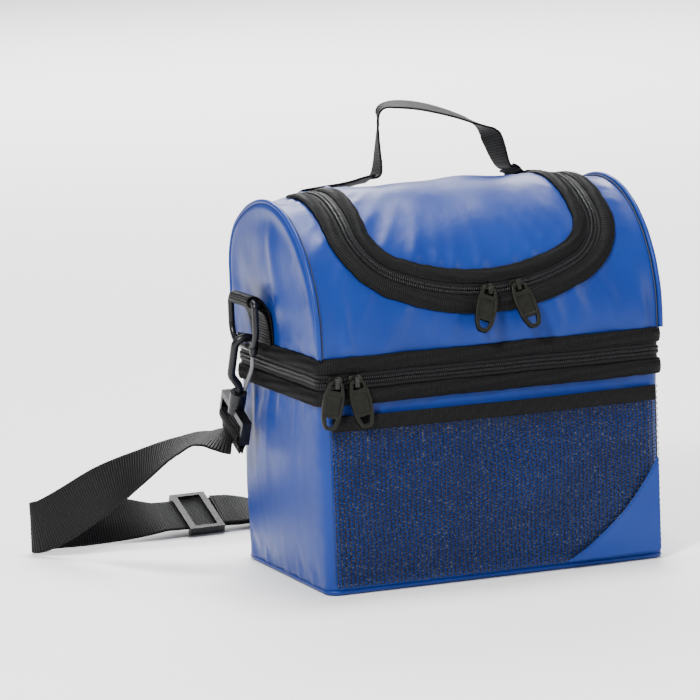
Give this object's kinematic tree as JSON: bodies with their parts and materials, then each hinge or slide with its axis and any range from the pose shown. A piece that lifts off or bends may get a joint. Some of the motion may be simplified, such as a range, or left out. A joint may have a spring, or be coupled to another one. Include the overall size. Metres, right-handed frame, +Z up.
{
  "type": "insulated cooler bag",
  "caption": "Soft insulated cooler bag: boxy lower compartment, tip-back barrel-top upper compartment with a U-zip lid, mesh front pocket, carry handle and clip-on shoulder strap.",
  "frame": {"origin": "centre of the base, on the surface that the bag stands on", "axes": "+Z up, -Y towards the mesh pocket, X along the bag's width"},
  "size_m": [0.4707, 0.3194, 0.3289],
  "materials": {
    "blue_fabric": "coated, satin",
    "foam": "matt closed-cell foam",
    "foil_liner": "silvered film",
    "black_binding": "ribbed woven tape",
    "zipper_coil": "nylon coil",
    "black_mesh": "open knitted mesh",
    "black_webbing": "ribbed webbing",
    "black_plastic": "moulded",
    "grey_plastic": "moulded",
    "pull_rubber": "soft moulded",
    "slider_metal": "black lacquer"
  },
  "bodies": {
    "root": {"base_panel": "blue_fabric", "base_foam": "foam", "lower_front_panel": "blue_fabric", "lower_side_and_back_panel": "blue_fabric", "lower_front_foam": "foam", "lower_side_and_back_foam": "foam", "lower_liner": "foil_liner", "lower_binding_tape": "black_binding", "main_zipper_lower_half": "zipper_coil", "rear_hinge_strip": "black_binding", "mesh_pocket": "black_mesh", "pocket_binding": "black_binding", "pocket_corner_panel": "blue_fabric", "shoulder_strap": "black_webbing", "strap_tail": "black_webbing"},
    "upper_body": {"divider_floor": "foam", "upper_skirt": "blue_fabric", "upper_wrap": "blue_fabric", "upper_foam": "foam", "upper_liner": "foil_liner", "left_end_panel": "blue_fabric", "right_end_panel": "blue_fabric", "left_end_foam": "foam", "right_end_foam": "foam", "left_piping": "blue_fabric", "right_piping": "blue_fabric", "main_zipper_upper_half": "zipper_coil", "upper_binding_tape": "black_binding", "opening_binding_tape": "black_binding", "lid_zipper_body_half": "zipper_coil", "handle_anchors": "black_webbing", "left_tab": "black_webbing", "right_tab": "black_webbing"},
    "lid": {"lid_panel": "blue_fabric", "lid_foam": "foam", "lid_liner": "foil_liner", "lid_zipper_lid_half": "zipper_coil", "lid_binding_tape": "black_binding"},
    "handle": {"carry_handle": "black_webbing"},
    "tri_glide": {"tri_glide": "black_plastic"},
    "main_left_slider": {"main_left_slider": "slider_metal"},
    "main_left_pull": {"main_left_pull": "pull_rubber"},
    "main_right_slider": {"main_right_slider": "slider_metal"},
    "main_right_pull": {"main_right_pull": "pull_rubber"},
    "lid_left_slider": {"lid_left_slider": "slider_metal"},
    "lid_left_pull": {"lid_left_pull": "pull_rubber"},
    "lid_right_slider": {"lid_right_slider": "slider_metal"},
    "lid_right_pull": {"lid_right_pull": "pull_rubber"},
    "left_ring": {"left_ring": "black_plastic"},
    "left_hook": {"left_hook": "black_plastic"},
    "left_gate": {"left_gate": "grey_plastic"},
    "left_swivel": {"left_swivel_base": "black_plastic", "left_strap_loop": "black_webbing"},
    "right_ring": {"right_ring": "black_plastic"},
    "right_hook": {"right_hook": "black_plastic"},
    "right_gate": {"right_gate": "grey_plastic"},
    "right_swivel": {"right_swivel_base": "black_plastic", "right_strap_loop": "black_webbing"}
  },
  "joints": [
    {"name": "upper_section_hinge", "type": "hinge", "parent": "root", "child": "upper_body", "pos_m": [0, 0.0882, 0.151], "axis": [-1, 0, 0], "range_deg": [0, 100]},
    {"name": "lid_hinge", "type": "hinge", "parent": "upper_body", "child": "lid", "pos_m": [0, 0.02216, 0.26767], "axis": [-1, 0, 0], "range_deg": [0, 90]},
    {"name": "handle_swing", "type": "hinge", "parent": "upper_body", "child": "handle", "pos_m": [0, 0.04206, 0.27561], "axis": [1, 0, 0], "range_deg": [-50, 10], "stiffness_Nm_per_rad": 0.05},
    {"name": "main_left_slider_corner", "type": "hinge", "parent": "root", "child": "main_left_slider", "pos_m": [-0.121, -0.076, 0.151], "axis": [0, 0, -1], "range_deg": [0, 90]},
    {"name": "main_right_slider_travel", "type": "slide", "parent": "root", "child": "main_right_slider", "axis": [1, 0, 0], "range_m": [0, 0.221]},
    {"name": "main_left_pull_flip", "type": "hinge", "parent": "main_left_slider", "child": "main_left_pull", "pos_m": [-0.121, -0.0908, 0.151], "axis": [-0.9877, 0, 0.1564], "range_deg": [0, 140]},
    {"name": "main_right_pull_flip", "type": "hinge", "parent": "main_right_slider", "child": "main_right_pull", "pos_m": [-0.106, -0.0908, 0.151], "axis": [-0.9877, 0, -0.1564], "range_deg": [0, 140]},
    {"name": "lid_left_slider_travel", "type": "hinge", "parent": "upper_body", "child": "lid_left_slider", "pos_m": [0, -0.03519, 0.3621], "axis": [0, 0.9553, -0.2955], "range_deg": [0, 22]},
    {"name": "lid_left_pull_flip", "type": "hinge", "parent": "lid_left_slider", "child": "lid_left_pull", "pos_m": [-0.0015, -0.08652, 0.20632], "axis": [-0.9862, 0.0489, 0.1581], "range_deg": [0, 140]},
    {"name": "lid_right_slider_travel", "type": "hinge", "parent": "upper_body", "child": "lid_right_slider", "pos_m": [0, -0.03519, 0.3621], "axis": [0, -0.9553, 0.2955], "range_deg": [0, 15]},
    {"name": "lid_right_pull_flip", "type": "hinge", "parent": "lid_right_slider", "child": "lid_right_pull", "pos_m": [0.02045, -0.08614, 0.20753], "axis": [-0.9605, -0.0823, -0.2659], "range_deg": [0, 140]},
    {"name": "left_ring_swing", "type": "hinge", "parent": "upper_body", "child": "left_ring", "pos_m": [-0.147, 0.02, 0.199], "axis": [0, 1, 0], "range_deg": [0, 30]},
    {"name": "left_hook_swing", "type": "hinge", "parent": "left_ring", "child": "left_hook", "pos_m": [-0.147, 0.02, 0.166], "axis": [0, 1, 0], "range_deg": [0, 25]},
    {"name": "left_gate_press", "type": "hinge", "parent": "left_hook", "child": "left_gate", "pos_m": [-0.1426, 0.03585, 0.13201], "axis": [0, -0.9063, -0.4226], "range_deg": [0, 14], "stiffness_Nm_per_rad": 0.02},
    {"name": "left_swivel_turn", "type": "hinge", "parent": "left_hook", "child": "left_swivel", "pos_m": [-0.147, 0.04219, 0.11842], "axis": [0, -0.4226, 0.9063], "range_deg": [-30, 30]},
    {"name": "right_ring_swing", "type": "hinge", "parent": "upper_body", "child": "right_ring", "pos_m": [0.147, 0.02, 0.199], "axis": [0, -1, 0], "range_deg": [0, 30]},
    {"name": "right_hook_swing", "type": "hinge", "parent": "right_ring", "child": "right_hook", "pos_m": [0.147, 0.02, 0.166], "axis": [0, -1, 0], "range_deg": [0, 25]},
    {"name": "right_gate_press", "type": "hinge", "parent": "right_hook", "child": "right_gate", "pos_m": [0.1426, 0.03585, 0.13201], "axis": [0, 0.9063, 0.4226], "range_deg": [0, 14], "stiffness_Nm_per_rad": 0.02},
    {"name": "right_swivel_turn", "type": "hinge", "parent": "right_hook", "child": "right_swivel", "pos_m": [0.147, 0.04219, 0.11842], "axis": [0, -0.4226, 0.9063], "range_deg": [-30, 30]},
    {"name": "tri_glide_travel", "type": "slide", "parent": "root", "child": "tri_glide", "axis": [0.9994, 0.0333, 0], "range_m": [-0.008, 0.008]}
  ]
}
